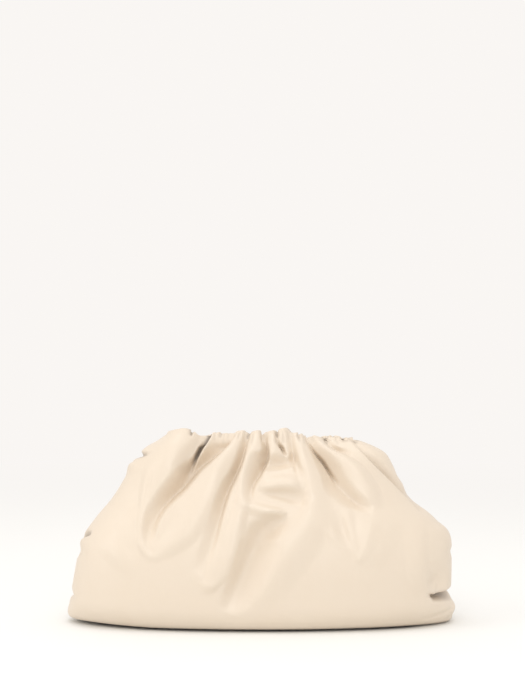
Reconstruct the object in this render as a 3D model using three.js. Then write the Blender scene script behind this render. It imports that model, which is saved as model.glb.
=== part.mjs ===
// Gathered leather pouch bag: a soft, hollow leather body drawn up in gathers over a hidden mouth frame.
// Millimetres, +Z up. The front faces -Y, and the origin is on the floor under the middle of the bag.
import * as THREE from "three";

const { degToRad, euclideanModulo, lerp, smoothstep } = THREE.MathUtils;

// Driving dimensions
const BODY_WIDTH = 380;
const BODY_DEPTH = 150;
const LIP_HEIGHT = 187;
const LEATHER_THICKNESS = 1.6;
const MOUTH_LENGTH = 188;
const MOUTH_GAP = 8.4;
const MOUTH_TILT = degToRad(1.4);
const HEM_DEPTH = 24;
const LIP_LEAN = degToRad(25);
const FRAME_BAR = { thick: 2.4, tall: 6, besideGap: 0.5, aboveGap: 5.5 };

// Fineness of the faceted leather
const FRONT_COLUMNS = 64;
const BACK_COLUMNS = 44;
const WALL_ROWS = 20;
const RING_STEPS = 240;

const COLUMNS = FRONT_COLUMNS + BACK_COLUMNS;
const HALF_WIDTH = BODY_WIDTH / 2;
const HALF_DEPTH = BODY_DEPTH / 2;
const LIP_THICKNESS = FRAME_BAR.thick + 2 * (FRAME_BAR.besideGap + LEATHER_THICKNESS);

// Level sections of the wall from the gathered lip to the floor, as shares of the lip height, the half
// width and the half depth. square is the power of the oval, and slot how far it is still the mouth's slot.
const WALL_SECTIONS = [
  { up: 0.982, wide: 0.508, deep: 0.165, square: 3.6, slot: 1 },
  { up: 0.955, wide: 0.56, deep: 0.25, square: 3.2, slot: 0.75 },
  { up: 0.915, wide: 0.625, deep: 0.36, square: 2.8, slot: 0.4 },
  { up: 0.845, wide: 0.68, deep: 0.5, square: 2.5, slot: 0.15 },
  { up: 0.76, wide: 0.725, deep: 0.63, square: 2.4, slot: 0 },
  { up: 0.66, wide: 0.79, deep: 0.755, square: 2.4, slot: 0 },
  { up: 0.55, wide: 0.885, deep: 0.86, square: 2.4, slot: 0 },
  { up: 0.44, wide: 0.965, deep: 0.935, square: 2.4, slot: 0 },
  { up: 0.32, wide: 0.988, deep: 0.98, square: 2.5, slot: 0 },
  { up: 0.2, wide: 0.99, deep: 1, square: 2.6, slot: 0 },
  { up: 0.11, wide: 1.005, deep: 0.995, square: 2.7, slot: 0 },
  { up: 0.05, wide: 1.005, deep: 0.96, square: 2.8, slot: 0 },
  { up: 0.012, wide: 0.98, deep: 0.9, square: 2.8, slot: 0 },
  { up: 0, wide: 0.94, deep: 0.82, square: 2.8, slot: 0 },
];

// Folds that run down the leather. line places a fold around the bag at its start, middle and end: 0 is the
// middle of the front, 1 the right end, 2 the middle of the back and 3, or -1, the left end. from and to are
// how far below the lip it starts and stops, as shares of the lip height. wide is its half widths in
// millimetres at the start, to the left and to the right, and spread is how many times wider it ends. rise is
// its height in millimetres, below 0 for a valley. crease goes from 0, where it is round, to 1, where it is
// sharp along its line.
const FOLDS = [
  // valleys of the front gathers
  { line: [-0.52, -0.53, -0.57], from: 0, to: 0.6, wide: [23, 24], spread: 1.2, rise: -21, crease: 0.8 },
  { line: [-0.14, -0.24, -0.29], from: 0, to: 0.74, wide: [15, 9], spread: 1.4, rise: -16, crease: 0.8 },
  { line: [0.02, 0.03, -0.1], from: 0, to: 0.3, wide: [10, 11], spread: 1.5, rise: -14, crease: 0.7 },
  { line: [0.17, 0.17, 0.18], from: 0, to: 0.13, wide: [7, 7], spread: 1, rise: -8, crease: 0.9 },
  { line: [0.43, 0.42, 0.57], from: 0, to: 0.4, wide: [15, 11], spread: 1.7, rise: -18, crease: 0.9 },
  { line: [0.63, 0.64, 0.67], from: 0, to: 0.15, wide: [9, 9], spread: 1, rise: -8, crease: 0.8 },
  { line: [0.98, 0.95, 1.05], from: 0, to: 0.48, wide: [7, 22], spread: 1.3, rise: -10, crease: 0.8 },
  // lobes that stand above the lip between them
  { line: [-0.83, -0.74, -0.68], from: 0, to: 0.5, wide: [22, 22], spread: 1.5, rise: 9, crease: 0 },
  { line: [-0.3, -0.36, -0.44], from: 0, to: 0.6, wide: [16, 14], spread: 1.8, rise: 5, crease: 0 },
  { line: [-0.08, -0.13, -0.2], from: 0, to: 0.7, wide: [8, 9], spread: 2.2, rise: 6, crease: 0 },
  { line: [0.11, 0.12, 0.13], from: 0, to: 0.24, wide: [8, 8], spread: 1.8, rise: 6, crease: 0 },
  { line: [0.3, 0.28, 0.24], from: 0, to: 0.46, wide: [11, 12], spread: 1.6, rise: 7, crease: 0 },
  { line: [0.54, 0.6, 0.63], from: 0, to: 0.36, wide: [10, 12], spread: 1.8, rise: 4, crease: 0 },
  // soft folds lower down the front
  { line: [0.03, -0.08, -0.16], from: 0.36, to: 0.92, wide: [26, 20], spread: 0.6, rise: -10, crease: 0.4 },
  { line: [0.26, 0.05, -0.12], from: 0.34, to: 0.98, wide: [16, 22], spread: 1, rise: 6, crease: 0 },
  { line: [0.49, 0.45, 0.43], from: 0.32, to: 0.66, wide: [14, 18], spread: 0.9, rise: 7, crease: 0 },
  { line: [0.38, 0.37, 0.34], from: 0.36, to: 0.64, wide: [13, 11], spread: 1, rise: -4, crease: 0 },
  // gathers of the back
  { line: [1.14, 1.18, 1.22], from: 0, to: 0.45, wide: [16, 14], spread: 1.5, rise: -10, crease: 0.7 },
  { line: [1.42, 1.43, 1.46], from: 0, to: 0.62, wide: [16, 22], spread: 1.5, rise: -18, crease: 0.8 },
  { line: [1.68, 1.7, 1.75], from: 0, to: 0.35, wide: [10, 12], spread: 1.6, rise: -11, crease: 0.7 },
  { line: [1.9, 1.84, 1.8], from: 0, to: 0.72, wide: [18, 10], spread: 1.8, rise: -15, crease: 0.7 },
  { line: [2.16, 2.19, 2.2], from: 0, to: 0.3, wide: [9, 12], spread: 1.5, rise: -11, crease: 0.7 },
  { line: [2.44, 2.44, 2.4], from: 0, to: 0.6, wide: [22, 15], spread: 1.5, rise: -18, crease: 0.8 },
  { line: [2.8, 2.77, 2.74], from: 0, to: 0.42, wide: [14, 16], spread: 1.4, rise: -9, crease: 0.7 },
  { line: [1.28, 1.31, 1.33], from: 0, to: 0.5, wide: [18, 18], spread: 1.7, rise: 6, crease: 0 },
  { line: [1.56, 1.58, 1.6], from: 0, to: 0.5, wide: [12, 12], spread: 1.8, rise: 5, crease: 0 },
  { line: [2.03, 2.02, 2.04], from: 0, to: 0.4, wide: [10, 10], spread: 2, rise: 6, crease: 0 },
  { line: [2.3, 2.31, 2.3], from: 0, to: 0.5, wide: [12, 12], spread: 1.8, rise: 5, crease: 0 },
  { line: [2.62, 2.6, 2.58], from: 0, to: 0.5, wide: [18, 18], spread: 1.7, rise: 6, crease: 0 },
];

// Tucks that run across the leather, where it slumps. at is the place of the middle and up its share of the
// lip height, lean is how much higher its right end is than its middle, reach is its half length, above and
// below are its half widths in millimetres, and rise and crease are as for a fold.
const TUCKS = [
  // left end, from the top down
  { at: -0.98, up: 0.86, lean: 0.03, reach: 34, above: 11, below: 12, rise: -8, crease: 0.7 },
  { at: -0.98, up: 0.515, lean: 0.06, reach: 48, above: 15, below: 9, rise: -10, crease: 0.7 },
  { at: -0.98, up: 0.135, lean: -0.02, reach: 46, above: 13, below: 8, rise: -7, crease: 0.7 },
  // right end
  { at: 1.08, up: 0.8, lean: -0.06, reach: 42, above: 12, below: 16, rise: -9, crease: 0.7 },
  { at: 1.03, up: 0.57, lean: 0.02, reach: 46, above: 14, below: 8, rise: -5, crease: 0.5 },
  { at: 1.06, up: 0.47, lean: 0.02, reach: 60, above: 18, below: 26, rise: 8, crease: 0 },
  { at: 1, up: 0.375, lean: -0.06, reach: 44, above: 10, below: 12, rise: -4, crease: 0.7 },
  { at: 0.98, up: 0.155, lean: -0.01, reach: 66, above: 24, below: 7, rise: -15, crease: 0.6 },
  // crescent between two pillows in the middle of the front
  { at: 0.14, up: 0.8, lean: 0.01, reach: 32, above: 12, below: 9, rise: 3, crease: 0 },
  { at: 0.13, up: 0.725, lean: 0, reach: 30, above: 11, below: 8, rise: -7, crease: 0.3 },
  { at: 0.03, up: 0.665, lean: -0.05, reach: 38, above: 13, below: 10, rise: 5, crease: 0 },
];

// Quarter turns around the bag from one place to another, the short way, from -2 to 2
function turnsBetween(start, end) {
  return euclideanModulo(end - start + 2, 4) - 2;
}

// Cross profile of a fold: 1 on its line and 0 at its edge, round or creased
function acrossFold(distance, crease) {
  const share = Math.min(Math.abs(distance), 1);
  return lerp((1 - share ** 2) ** 2, (1 - share) ** 2, crease);
}

// Place of a fold's line, on a smooth curve through its start, middle and end
function foldLine([start, middle, end], run) {
  return start * (1 - run) * (1 - 2 * run) + 4 * middle * run * (1 - run) + end * run * (2 * run - 1);
}

// How far a fold lifts the leather at a place around the bag and a share below the lip
function foldLift(fold, place, below, quarterArc) {
  const along = (below - fold.from) / (fold.to - fold.from);
  if (along < 0 || along > 1) return 0;
  const offset = turnsBetween(foldLine(fold.line, along), place) * quarterArc;
  const halfWidth = fold.wide[offset < 0 ? 0 : 1] * lerp(1, fold.spread, along);
  const fadeIn = fold.from > 0 ? smoothstep(along, 0, 0.25) : 1;
  const fadeOut = (1 - along ** 2) ** 1.2;
  return fold.rise * acrossFold(offset / halfWidth, fold.crease) * fadeIn * fadeOut;
}

// How far a tuck lifts the leather at a place around the bag and a height
function tuckLift(tuck, place, height, quarterArc) {
  const offset = (turnsBetween(tuck.at, place) * quarterArc) / tuck.reach;
  const line = (tuck.up + tuck.lean * offset) * LIP_HEIGHT;
  const halfWidth = height > line ? tuck.above : tuck.below;
  const fadeOut = 1 - smoothstep(Math.abs(offset), 0.35, 1);
  return tuck.rise * acrossFold((height - line) / halfWidth, tuck.crease) * fadeOut;
}

// Quarter of an oval from the middle of the front to the right end: its points and the length up to each
function ovalQuarter(ring) {
  const power = 2 / ring.square;
  const points = [];
  let length = 0;
  for (let step = 0; step <= RING_STEPS; step++) {
    const angle = (Math.PI / 2) * (step / RING_STEPS);
    const x = ring.halfWidth * Math.sin(angle) ** power;
    const y = -ring.halfDepth * Math.abs(Math.cos(angle)) ** power;
    const last = points.at(-1);
    if (last) length += Math.hypot(x - last.x, y - last.y);
    points.push({ x, y, length });
  }
  return { points, length };
}

// Point at a share of the length of a quarter oval
function onOvalQuarter(quarter, share) {
  const wanted = share * quarter.length;
  const after = Math.max(1, quarter.points.findIndex((point) => point.length >= wanted));
  const [low, high] = [quarter.points[after - 1], quarter.points[after]];
  const between = (wanted - low.length) / (high.length - low.length);
  return { x: lerp(low.x, high.x, between), y: lerp(low.y, high.y, between) };
}

// Length of a quarter of a slot with round ends, and the point at a share of it
function slotQuarterLength(ring) {
  return ring.halfWidth - ring.halfDepth + (ring.halfDepth * Math.PI) / 2;
}

function onSlotQuarter(ring, share) {
  const straight = ring.halfWidth - ring.halfDepth;
  const distance = share * slotQuarterLength(ring);
  if (distance <= straight) return { x: distance, y: -ring.halfDepth };
  const angle = (distance - straight) / ring.halfDepth;
  return { x: straight + ring.halfDepth * Math.sin(angle), y: -ring.halfDepth * Math.cos(angle) };
}

// Point of a ring at a place around the bag
function ringPoint(ring, place) {
  const quarter = Math.floor(place);
  const share = quarter % 2 === 0 ? place - quarter : 1 - (place - quarter);
  const oval = onOvalQuarter(ring.oval, share);
  const slot = onSlotQuarter(ring, share);
  const x = lerp(oval.x, slot.x, ring.slot);
  const y = lerp(oval.y, slot.y, ring.slot);
  return new THREE.Vector3(quarter < 2 ? x : -x, quarter === 0 || quarter === 3 ? y : -y, ring.height);
}

// A level ring of the leather with the length of its quarter. below is its share below the lip, and lobes and
// valleys are the shares of the raised and of the sunken folds that it takes.
function makeRing(size) {
  const oval = ovalQuarter(size);
  return { ...size, oval, quarterArc: lerp(oval.length, slotQuarterLength(size), size.slot) };
}

// Rings of the hem: up inside the mouth, and over the top of the frame
function hemRings() {
  const inside = MOUTH_GAP / 2;
  const roll = LIP_THICKNESS / 2;
  const rows = [
    { drop: HEM_DEPTH, across: 0, lobes: 0 },
    { drop: HEM_DEPTH * 0.6, across: 0, lobes: 0 },
    { drop: roll, across: 0, lobes: 0 },
    { drop: roll * 0.3, across: 0.15, lobes: 0.4 },
    { drop: 0, across: 0.5, lobes: 1 },
    { drop: roll * 0.3, across: 0.85, lobes: 1 },
  ];
  return rows.map(({ drop, across, lobes }) => {
    const halfDepth = inside + LIP_THICKNESS * across;
    const halfWidth = MOUTH_LENGTH / 2 - LIP_THICKNESS * (1 - across);
    const height = LIP_HEIGHT - drop;
    return makeRing({ height, below: 0, halfWidth, halfDepth, square: 4, slot: 1, lobes, valleys: 0 });
  });
}

// Rings of the wall, through the table of sections
function wallRings() {
  const points = WALL_SECTIONS.map(
    ({ up, wide, deep }) => new THREE.Vector3(wide * HALF_WIDTH, deep * HALF_DEPTH, up * LIP_HEIGHT),
  );
  const curve = new THREE.CatmullRomCurve3(points, false, "centripetal");
  const last = WALL_SECTIONS.length - 1;
  return Array.from({ length: WALL_ROWS }, (_, row) => {
    const share = row / (WALL_ROWS - 1);
    const size = curve.getPoint(share);
    const index = Math.min(Math.floor(share * last), last - 1);
    const [high, low] = [WALL_SECTIONS[index], WALL_SECTIONS[index + 1]];
    const between = share * last - index;
    const up = size.z / LIP_HEIGHT;
    return makeRing({
      height: size.z,
      below: 1 - up,
      halfWidth: size.x,
      halfDepth: size.y,
      square: lerp(high.square, low.square, between),
      slot: lerp(high.slot, low.slot, between),
      lobes: 1,
      valleys: row === WALL_ROWS - 1 ? 0 : 1 - smoothstep(up, 0.88, 0.99),
    });
  });
}

// Place of a column around the bag, from the left end over the front to the right end, and back behind
function columnPlace(column) {
  if (column < FRONT_COLUMNS) return euclideanModulo((2 * column) / FRONT_COLUMNS - 1, 4);
  return 1 + (2 * (column - FRONT_COLUMNS)) / BACK_COLUMNS;
}

// Grid of points, one row for each ring
function gridPoints(rings, pointAt) {
  return rings.map((ring, row) =>
    Array.from({ length: COLUMNS }, (_, column) => pointAt(ring, row, column, columnPlace(column))),
  );
}

// Outward normals of a grid, from its neighbouring points
function gridNormals(grid) {
  return grid.map((row, i) =>
    row.map((_, j) => {
      const above = grid[Math.max(i - 1, 0)][j];
      const below = grid[Math.min(i + 1, grid.length - 1)][j];
      const before = row[(j + COLUMNS - 1) % COLUMNS];
      const after = row[(j + 1) % COLUMNS];
      const down = below.clone().sub(above);
      return down.cross(after.clone().sub(before)).normalize();
    }),
  );
}

// Directions in which folds stand out: mostly up on the lip, turning smoothly to the wall's own normal
function foldDirections(rings, normals) {
  return normals.map((row, i) => {
    const up = rings[i].height / LIP_HEIGHT;
    const slope = lerp(Math.PI / 2, LIP_LEAN, smoothstep(up, 0.6, 1));
    return row.map((normal) => {
      const level = new THREE.Vector3(normal.x, normal.y, 0).normalize();
      const raised = level.multiplyScalar(Math.sin(slope)).setZ(Math.cos(slope));
      return raised.lerp(normal, 1 - smoothstep(up, 0.55, 0.8)).normalize();
    });
  });
}

// Outer face of the leather: the smooth form, its folds and tucks, and the tilt of the mouth
function outerFace(rings) {
  const smooth = gridPoints(rings, (ring, row, column, place) => ringPoint(ring, place));
  const directions = foldDirections(rings, gridNormals(smooth));
  return gridPoints(rings, (ring, row, column, place) => {
    const folds = FOLDS.map((fold) => foldLift(fold, place, ring.below, ring.quarterArc));
    const tucks = TUCKS.map((tuck) => tuckLift(tuck, place, ring.height, ring.quarterArc));
    const raised = folds.reduce((sum, lift) => sum + Math.max(lift, 0), 0);
    const sunken = folds.reduce((sum, lift) => sum + Math.min(lift, 0), 0);
    const tucked = tucks.reduce((sum, lift) => sum + lift, 0);
    const lift = raised * ring.lobes + (sunken + tucked) * ring.valleys;
    const point = smooth[row][column].clone().addScaledVector(directions[row][column], lift);
    point.z -= point.x * Math.tan(MOUTH_TILT) * smoothstep(ring.height / LIP_HEIGHT, 0.5, 0.9);
    point.z = Math.max(point.z, 0);
    return point;
  });
}

// Closed wall between an outer and an inner grid of points, with a flat bottom on each and a rim at the hem
function wallGeometry(outer, inner) {
  const grids = [outer, inner];
  const rows = outer.length;
  const spot = (side, row, column) => (side * rows + row) * COLUMNS + column;
  const corners = [];
  const facet = (side, ends) => corners.push(...(side === 0 ? ends : ends.reverse()));
  for (let column = 0; column < COLUMNS; column++) {
    const next = (column + 1) % COLUMNS;
    for (let row = 0; row < rows - 1; row++) {
      const falling = outer[row][column].distanceTo(outer[row + 1][next]);
      const rising = outer[row + 1][column].distanceTo(outer[row][next]);
      for (const side of [0, 1]) {
        const [a, b] = [spot(side, row, column), spot(side, row + 1, column)];
        const [c, d] = [spot(side, row + 1, next), spot(side, row, next)];
        facet(side, falling < rising ? [a, b, c] : [a, b, d]);
        facet(side, falling < rising ? [a, c, d] : [b, c, d]);
      }
    }
    facet(0, [spot(0, 0, column), spot(0, 0, next), spot(1, 0, next)]);
    facet(0, [spot(0, 0, column), spot(1, 0, next), spot(1, 0, column)]);
  }
  grids.forEach((grid, side) => {
    const outline = grid[rows - 1].map((point) => new THREE.Vector2(point.x, point.y));
    THREE.ShapeUtils.triangulateShape(outline, []).forEach(([a, b, c]) => {
      facet(side, [c, b, a].map((column) => spot(side, rows - 1, column)));
    });
  });
  const positions = grids.flat(2).flatMap((point) => point.toArray());
  const geometry = new THREE.BufferGeometry();
  geometry.setAttribute("position", new THREE.Float32BufferAttribute(positions, 3));
  geometry.setIndex(corners);
  geometry.computeVertexNormals();
  return geometry;
}

// The leather body: hem, gathered lip, belly and bottom in one wall of even thickness
function leatherBody() {
  const rings = [...hemRings(), ...wallRings()];
  const outer = outerFace(rings);
  const normals = gridNormals(outer);
  const inner = gridPoints(rings, (ring, row, column) => {
    const point = outer[row][column].clone().addScaledVector(normals[row][column], -LEATHER_THICKNESS);
    if (row === rings.length - 1) point.z = LEATHER_THICKNESS;
    return point;
  });
  const leather = new THREE.MeshStandardMaterial({ color: 0xeedcc4, roughness: 0.5, metalness: 0 });
  const body = new THREE.Mesh(wallGeometry(outer, inner), leather);
  body.name = "leather_body";
  return body;
}

// The hidden frame: one flat-bar loop that the hem is turned over
function mouthFrame() {
  const outside = MOUTH_GAP / 2 + LIP_THICKNESS - LEATHER_THICKNESS - FRAME_BAR.besideGap;
  const straight = MOUTH_LENGTH / 2 - MOUTH_GAP / 2 - LIP_THICKNESS;
  const slot = (radius, path) => {
    path.absarc(straight, 0, radius, -Math.PI / 2, Math.PI / 2, false);
    path.absarc(-straight, 0, radius, Math.PI / 2, (3 * Math.PI) / 2, false);
    return path;
  };
  const outline = slot(outside, new THREE.Shape());
  outline.holes.push(slot(outside - FRAME_BAR.thick, new THREE.Path()));
  const geometry = new THREE.ExtrudeGeometry(outline, {
    depth: FRAME_BAR.tall,
    bevelEnabled: false,
    curveSegments: 10,
  });
  const steel = new THREE.MeshStandardMaterial({ color: 0xb9b4aa, roughness: 0.35, metalness: 1 });
  const frame = new THREE.Mesh(geometry, steel);
  frame.name = "mouth_frame";
  frame.rotation.y = MOUTH_TILT;
  frame.position.z = LIP_HEIGHT - LEATHER_THICKNESS - FRAME_BAR.aboveGap - FRAME_BAR.tall;
  return frame;
}

const pouch = new THREE.Group();
pouch.add(leatherBody(), mouthFrame());

// The middle of the bag's box goes over the origin
const middle = new THREE.Box3().setFromObject(pouch).getCenter(new THREE.Vector3());
pouch.position.set(-middle.x, -middle.y, 0);

export default pouch;
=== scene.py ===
# %% [markdown]
# # A gathered leather pouch bag
#
# This lesson dresses one soft leather bag. The imported model gives the size and the place of everything,
# and nothing here moves it. The first step loads that model.

# %% Load the imported frame
import math

import bpy
import numpy as np
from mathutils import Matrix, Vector


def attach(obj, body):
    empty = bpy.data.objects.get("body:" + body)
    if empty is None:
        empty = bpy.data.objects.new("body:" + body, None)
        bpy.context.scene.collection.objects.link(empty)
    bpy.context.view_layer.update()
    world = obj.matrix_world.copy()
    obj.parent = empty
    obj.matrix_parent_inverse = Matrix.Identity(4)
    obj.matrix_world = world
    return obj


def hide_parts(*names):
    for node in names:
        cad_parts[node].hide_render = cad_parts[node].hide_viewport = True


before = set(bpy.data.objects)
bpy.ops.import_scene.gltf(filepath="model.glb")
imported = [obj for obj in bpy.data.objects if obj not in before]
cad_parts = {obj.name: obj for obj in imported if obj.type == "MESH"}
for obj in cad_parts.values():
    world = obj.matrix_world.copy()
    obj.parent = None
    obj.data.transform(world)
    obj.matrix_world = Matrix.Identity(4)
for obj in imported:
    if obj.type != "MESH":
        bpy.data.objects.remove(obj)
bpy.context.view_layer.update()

MM = 0.001


# %% [markdown]
# ## The camera
#
# The bag was photographed from a little above its lip, with a long lens, and it stands low in an upright
# picture. The camera could be aimed at the bag and its lens shifted. Here it looks almost level instead, so
# the room above the bag comes by itself.

# %% Place the camera
EYE = Vector((0.001, -1.687, 0.305))
LOOK_DOWN = math.radians(1.12)
SENSOR_WIDTH = 36
FOCAL_LENGTH = 86.6

bpy.ops.object.select_all(action="DESELECT")
bpy.ops.object.camera_add(location=EYE, rotation=(math.pi / 2 - LOOK_DOWN, 0, 0))
camera = bpy.context.object
camera.name = "photo_camera"
camera.data.sensor_fit = "AUTO"
camera.data.sensor_width = SENSOR_WIDTH
camera.data.lens = FOCAL_LENGTH
bpy.context.scene.camera = camera
print("camera", round(EYE.length, 2), "m from the bag")

# %% [markdown]
# ## Shader arithmetic
#
# Procedural materials are built from many small Math nodes. A thin wrapper around a socket lets Python's own
# operators add those nodes, so that a pattern reads like a formula.

# %% Wrap a shader socket
class Shade:
    """A shader value with the usual arithmetic. Each operation adds one Math node."""

    def __init__(self, tree, socket):
        self.tree = tree
        self.socket = socket

    def node(self, kind, inputs=(), output=0, **settings):
        """Adds a node, gives it settings and inputs, and wraps one of its outputs."""
        made = self.tree.nodes.new(kind)
        for name, value in settings.items():
            setattr(made, name, value)
        for name, value in dict(inputs).items():
            if isinstance(value, Shade):
                self.tree.links.new(value.socket, made.inputs[name])
            else:
                made.inputs[name].default_value = value
        return Shade(self.tree, made.outputs[output])

    def math(self, operation, first, second):
        return self.node("ShaderNodeMath", {0: first, 1: second}, operation=operation)

    def __add__(self, other):
        return self.math("ADD", self, other)

    def __radd__(self, other):
        return self.math("ADD", other, self)

    def __mul__(self, other):
        return self.math("MULTIPLY", self, other)

    def __rmul__(self, other):
        return self.math("MULTIPLY", other, self)

    def ramp(self, low, high, to_low=0.0, to_high=1.0):
        """Maps low..high smoothly to to_low..to_high, and holds the ends."""
        inputs = {"Value": self, "From Min": low, "From Max": high, "To Min": to_low, "To Max": to_high}
        return self.node("ShaderNodeMapRange", inputs, interpolation_type="SMOOTHSTEP")

    def mix(self, factor, first, second):
        """Mixes two colours. A Mix node's colour sockets are its inputs 6 and 7 and its output 2."""
        return self.node("ShaderNodeMix", {0: factor, 6: first, 7: second}, output=2, data_type="RGBA")


def new_material(name):
    """A material with its Principled shader, and the wrapped Object coordinates to paint by."""
    material = bpy.data.materials.new(name)
    material.use_nodes = True
    tree = material.node_tree
    shader = tree.nodes["Principled BSDF"]
    place = Shade(tree, tree.nodes.new("ShaderNodeTexCoord").outputs["Object"])
    return material, shader, place


def feed(shader, socket, value):
    """Joins a wrapped value to one of the shader's sockets."""
    value.tree.links.new(value.socket, shader.inputs[socket])


print("shader values can be added, multiplied, ramped and mixed")

# %% [markdown]
# ## Floor and light
#
# The bag stands on a white seamless surface. A photographer would bend a sheet of paper up behind it, but
# here that would stand in the way of views from behind. So the floor is a wide disc of white paper, and with
# the distance from the bag it fades into a glow of the room's own colour.

# %% Lay the floor
FLOOR_RADIUS = 6.0
FADE = (0.45, 1.9)
FLOOR_WHITE = (0.87, 0.875, 0.865, 1)
ROOM_COLOUR = (0.95, 0.922, 0.897, 1)

bpy.ops.object.select_all(action="DESELECT")
bpy.ops.mesh.primitive_circle_add(vertices=96, radius=FLOOR_RADIUS, fill_type="NGON")
floor = bpy.context.object
floor.name = "floor"
floor_paper, shader, place = new_material("floor_paper")
shader.inputs["Base Color"].default_value = FLOOR_WHITE
shader.inputs["Roughness"].default_value = 0.8
shader.inputs["Specular IOR Level"].default_value = 0.1
distance = place.node("ShaderNodeVectorMath", {0: place}, output="Value", operation="LENGTH")
backdrop = place.node("ShaderNodeEmission", {"Color": ROOM_COLOUR})
paper = Shade(place.tree, shader.outputs["BSDF"])
faded = place.node("ShaderNodeMixShader", {0: distance.ramp(*FADE), 1: paper, 2: backdrop})
feed(floor_paper.node_tree.nodes["Material Output"], "Surface", faded)
floor.data.materials.append(floor_paper)
print("floor radius", FLOOR_RADIUS, "m")

# %% [markdown]
# The picture is high-key: the whole room is bright, and no shadow is deep. The key light is large and far off
# on the left, so each fold gets a soft bright side and a soft dark one. The front light keeps the face of the
# bag clear, and the top light brings out the lip and the thin shadow under the belly.

# %% Light the bag
LIGHT_COLOUR = (1.0, 0.985, 0.965)
LIGHTS_AIM = Vector((0, 0, 0.1))
LIGHTS = [
    dict(name="key_light", spot=(-3.2, -1.15, 1.7), size=2.1, watts=18.5),
    dict(name="front_light", spot=(0.0, -1.75, 1.3), size=1.2, watts=8.6),
    dict(name="top_light", spot=(0.0, -0.18, 2.2), size=1.2, watts=7.0),
]

world = bpy.data.worlds.new("room")
bpy.context.scene.world = world
world.use_nodes = True
world.node_tree.nodes["Background"].inputs["Color"].default_value = ROOM_COLOUR
world.node_tree.nodes["Background"].inputs["Strength"].default_value = 1.0
for row in LIGHTS:
    turn = (LIGHTS_AIM - Vector(row["spot"])).to_track_quat("-Z", "Y").to_euler()
    bpy.ops.object.light_add(type="AREA", location=row["spot"], rotation=turn)
    light = bpy.context.object
    light.name = row["name"]
    light.data.size = row["size"]
    light.data.energy = row["watts"]
    light.data.color = LIGHT_COLOUR
bpy.context.scene.view_settings.view_transform = "Standard"
print("lights", [row["name"] for row in LIGHTS])

# %% [markdown]
# ## The leather's smooth form
#
# The body is one soft piece of leather: a hem turned in over the mouth frame, a gathered lip, a full belly
# and a flat base. Without its folds it is a loft through level ovals. Each row below gives one oval, from the
# lip to the floor, as read from the outline in the photograph: its height, how far it reaches to the left, to
# the right, and to the front and back, how square it is, and how much of a straight slot is blended into it.
# The two ends have their own widths, because a slumped bag is never quite even.

# %% Level ovals of the body
LIP_HEIGHT = 187.0
OVALS = [
    dict(height=183.6, left=94, right=98.5, deep=12.4, square=3.6, slot=1.0),
    dict(height=178.6, left=104, right=112, deep=18.8, square=3.2, slot=0.75),
    dict(height=171.0, left=117, right=125, deep=27.0, square=2.8, slot=0.4),
    dict(height=158.0, left=128.5, right=132.5, deep=37.5, square=2.5, slot=0.15),
    dict(height=142.0, left=137, right=140.5, deep=47.0, square=2.4, slot=0.0),
    dict(height=123.0, left=149.5, right=152.5, deep=56.5, square=2.4, slot=0.0),
    dict(height=103.0, left=167, right=174.5, deep=64.5, square=2.4, slot=0.0),
    dict(height=82.0, left=181, right=189.5, deep=70.0, square=2.4, slot=0.0),
    dict(height=60.0, left=185.5, right=190.5, deep=73.5, square=2.5, slot=0.0),
    dict(height=37.0, left=189.5, right=190, deep=75.0, square=2.5, slot=0.0),
    dict(height=20.0, left=192, right=190.5, deep=75.0, square=2.45, slot=0.0),
    dict(height=9.0, left=194.5, right=191.5, deep=71.5, square=2.2, slot=0.0),
    dict(height=3.0, left=193, right=191, deep=65.0, square=2.06, slot=0.0),
    dict(height=0.0, left=186, right=187.5, deep=46.0, square=2.06, slot=0.0),
]
WALL_ROWS = 138
HEIGHT_COLUMN = 0
DEEP_COLUMN = 3


def smoothstep(value, low, high):
    """Goes smoothly from 0 at low to 1 at high."""
    share = np.clip((value - low) / (high - low), 0, 1)
    return share * share * (3 - 2 * share)


def smooth_path(points, steps=24):
    """A Catmull-Rom curve through rows of numbers, one for each column of a table."""
    rows = np.array(points, float)
    ends = np.vstack([2 * rows[0] - rows[1], rows, 2 * rows[-1] - rows[-2]])
    share = np.linspace(0, 1, steps, endpoint=False)[:, None]
    pieces = []
    for before, start, end, after in zip(ends[:-3], ends[1:-2], ends[2:-1], ends[3:]):
        bend = 2 * before - 5 * start + 4 * end - after
        turn = 3 * start - before - 3 * end + after
        pieces.append(start + 0.5 * ((end - before) * share + bend * share**2 + turn * share**3))
    return np.vstack(pieces + [rows[-1:]])


def even_rows(path, count, columns):
    """Resamples a path at even steps of the length that the given columns span."""
    step = np.linalg.norm(np.diff(path[:, columns], axis=0), axis=1)
    length = np.concatenate([[0], np.cumsum(step)])
    wanted = np.linspace(0, length[-1], count)
    return np.column_stack([np.interp(wanted, length, column) for column in path.T])


oval_path = smooth_path([list(row.values()) for row in OVALS])
wall = even_rows(oval_path, WALL_ROWS, [HEIGHT_COLUMN, DEEP_COLUMN])
print("wall rows", len(wall), "from", wall[0, 0], "down to", wall[-1, 0], "mm")

# %% [markdown]
# The lip is rolled over the frame: the leather comes up inside the mouth, goes over the top in half a turn,
# and becomes the wall. The base is the last oval drawn in towards its middle. Both are more ovals for the
# same loft, so the bag stays one sheet.

# %% Hem, roll and base
MOUTH_HALF_GAP = 4.2
MOUTH_HALF_LENGTH = 94.0
MOUTH_SQUARE = 4.0
MOUTH_SLOT = 1.0
LIP_THICKNESS = 6.6
HEM_DEPTH = 24.0
HEM_ROWS = 5
ROLL_ROWS = 8
BASE_SHARES = (0.985, 0.95, 0.85, 0.6, 0.3)


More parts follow.
